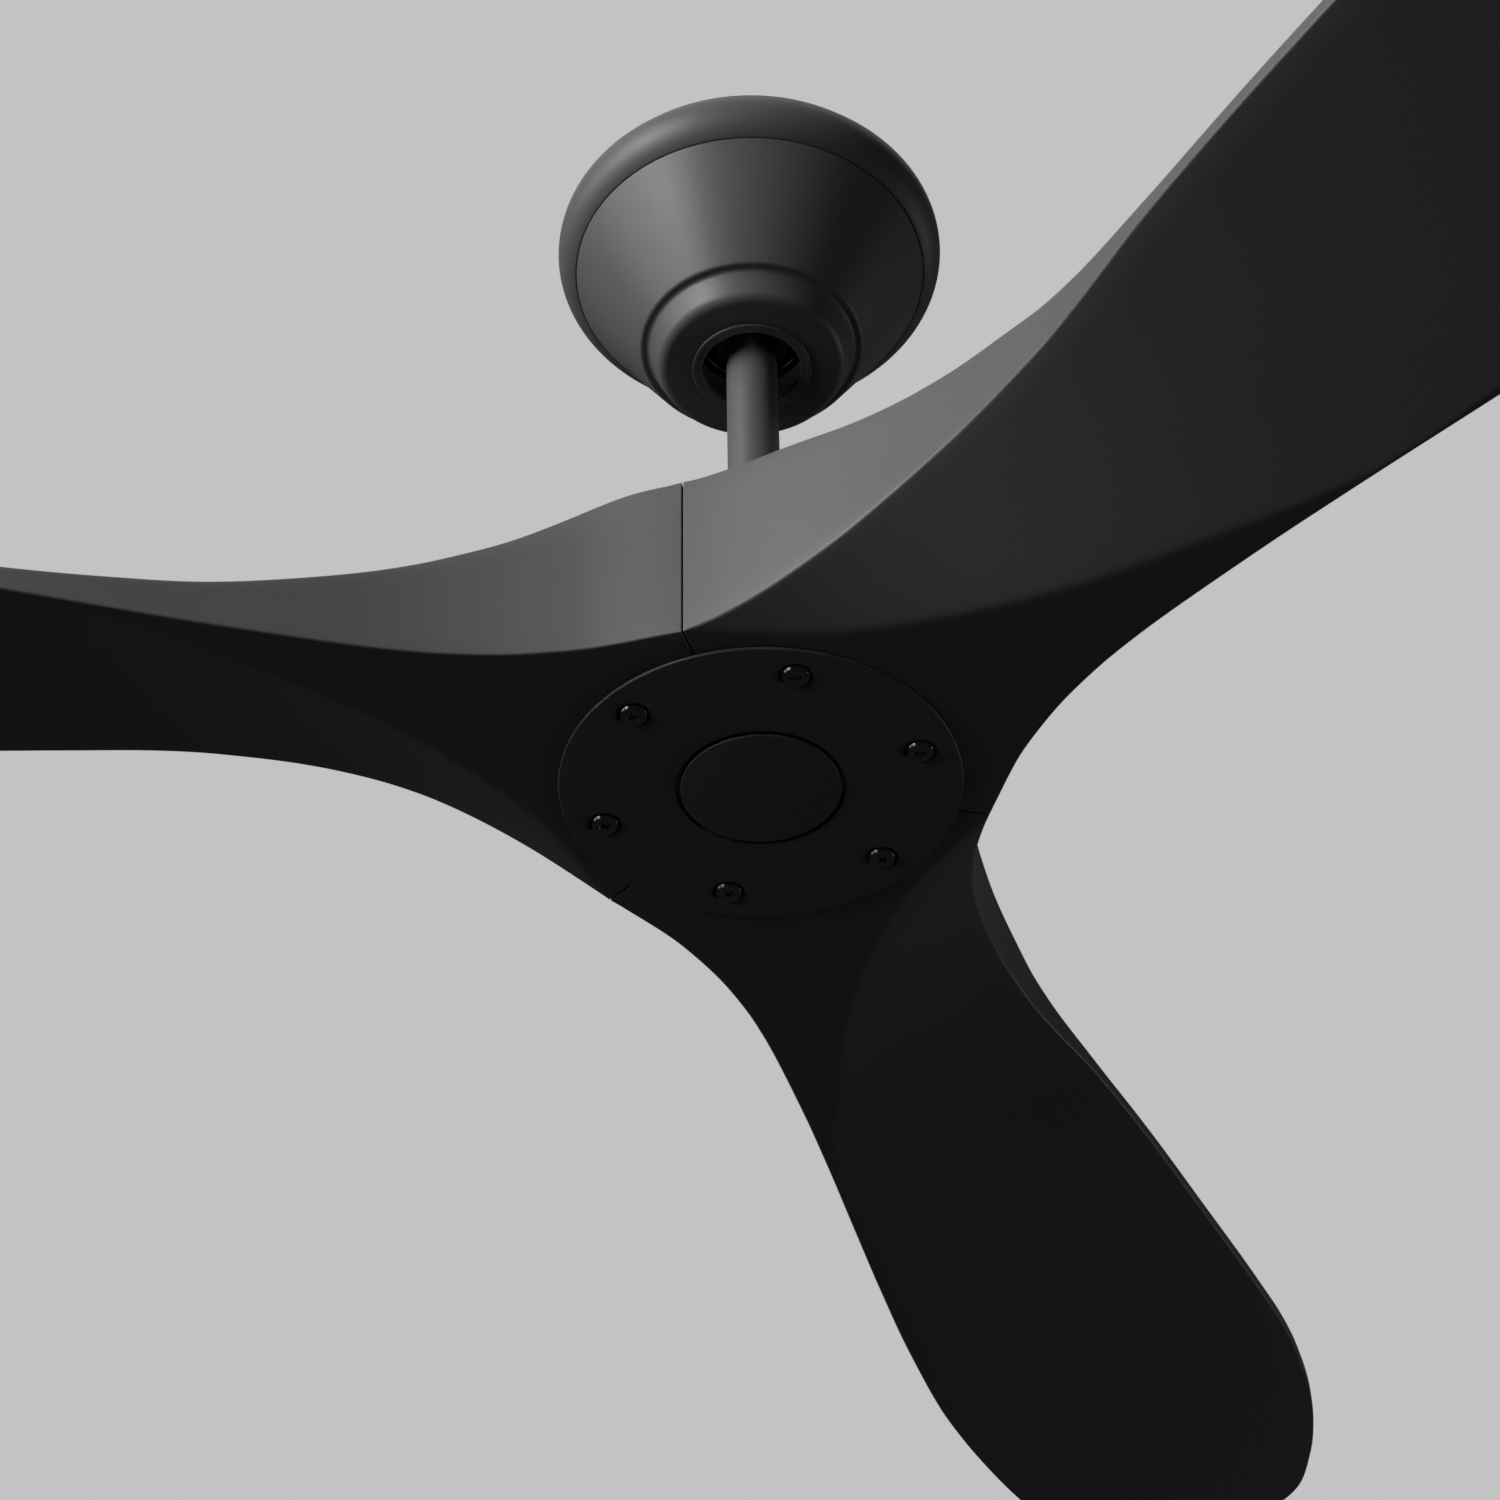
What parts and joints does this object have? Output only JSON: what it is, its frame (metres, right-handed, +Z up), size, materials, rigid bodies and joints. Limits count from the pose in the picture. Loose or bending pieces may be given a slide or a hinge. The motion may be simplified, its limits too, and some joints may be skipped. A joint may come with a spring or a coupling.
{
  "type": "ceiling fan",
  "caption": "Satin black ceiling fan on a short downrod, with curved blades that flow into the hub, a flat screwed plate with a centre cap below and a stepped canopy above.",
  "frame": {"origin": "Centre of the hanger bracket's top face, on the ceiling plane and on the downrod's axis.", "axes": "+Z points up into the ceiling along the downrod's axis; +X runs along the bracket, through its two ears and the canopy screws; +Y is square to both, away from the slot through which the rod is hung into the bracket's cup."},
  "size_m": [1.0948, 1.1494, 0.3294],
  "materials": {
    "satin_black": "fine satin powder coat",
    "blade_black": "matte black with a faint texture",
    "dark_steel": "dark phosphated steel",
    "screw_black": "glossy black oxide",
    "grommet_rubber": "smooth black rubber",
    "zinc_steel": "zinc plated",
    "cast_alloy": "die cast, as cast",
    "bearing_steel": "ground and polished",
    "core_steel": "stacked steel sheets",
    "winding_copper": "enamelled copper wire",
    "ferrite": "sintered ferrite, dull",
    "black_plastic": "moulded, matte",
    "board_green": "circuit board lacquer"
  },
  "bodies": {
    "ceiling_mount": {"hanger_bracket": "dark_steel", "bracket_screw_1": "zinc_steel", "bracket_screw_2": "zinc_steel", "canopy_screw_1": "screw_black", "canopy_screw_2": "screw_black", "receiver_tray": "black_plastic", "receiver_lid": "black_plastic", "receiver_board": "board_green"},
    "canopy": {"canopy": "satin_black", "canopy_grommet": "grommet_rubber"},
    "trim_ring": {"canopy_trim_ring": "satin_black"},
    "downrod": {"hanger_ball": "black_plastic", "ball_cross_pin": "zinc_steel", "ball_grub_screw": "zinc_steel", "downrod": "satin_black", "motor_lead": "grommet_rubber", "motor_coupling": "zinc_steel", "clevis_pin": "zinc_steel", "hairpin_clip": "zinc_steel", "coupling_grub_screw_1": "zinc_steel", "coupling_grub_screw_2": "zinc_steel", "coupling_cover": "satin_black", "motor_shaft": "bearing_steel", "shaft_circlip": "dark_steel", "stator_core": "core_steel", "stator_coil_1": "winding_copper", "stator_coil_2": "winding_copper", "stator_coil_3": "winding_copper", "stator_coil_4": "winding_copper", "stator_coil_5": "winding_copper", "stator_coil_6": "winding_copper", "stator_coil_7": "winding_copper", "stator_coil_8": "winding_copper", "stator_coil_9": "winding_copper", "lower_bearing_inner_ring": "bearing_steel", "upper_bearing_inner_ring": "bearing_steel"},
    "rotor": {"lower_bearing_outer_ring": "bearing_steel", "upper_bearing_outer_ring": "bearing_steel", "rotor_base": "cast_alloy", "rotor_lid": "cast_alloy", "rotor_screw_1": "zinc_steel", "rotor_screw_2": "zinc_steel", "rotor_screw_3": "zinc_steel", "magnet_ring": "ferrite", "motor_top_cover": "satin_black", "cover_screw_1": "satin_black", "cover_screw_2": "satin_black", "cover_screw_3": "satin_black", "blade_1": "blade_black", "blade_2": "blade_black", "blade_3": "blade_black", "blade_plate": "satin_black", "blade_screw_1": "screw_black", "blade_screw_2": "screw_black", "blade_screw_3": "screw_black", "blade_screw_4": "screw_black", "blade_screw_5": "screw_black", "blade_screw_6": "screw_black", "centre_cap": "satin_black"}
  },
  "joints": [
    {"name": "canopy_slide", "type": "slide", "parent": "ceiling_mount", "child": "canopy", "axis": [0, 0, 1], "range_m": [-0.105, 0]},
    {"name": "trim_ring_slide", "type": "slide", "parent": "canopy", "child": "trim_ring", "axis": [0, 0, 1], "range_m": [-0.1, 0]},
    {"name": "rod_tilt", "type": "hinge", "parent": "ceiling_mount", "child": "downrod", "pos_m": [0, 0, -0.052], "axis": [1, 0, 0], "range_deg": [-3.5, 3.5]},
    {"name": "rotor_spin", "type": "hinge", "parent": "downrod", "child": "rotor", "pos_m": [0, 0, -0.3195], "axis": [0, 0, 1], "continuous": true}
  ]
}
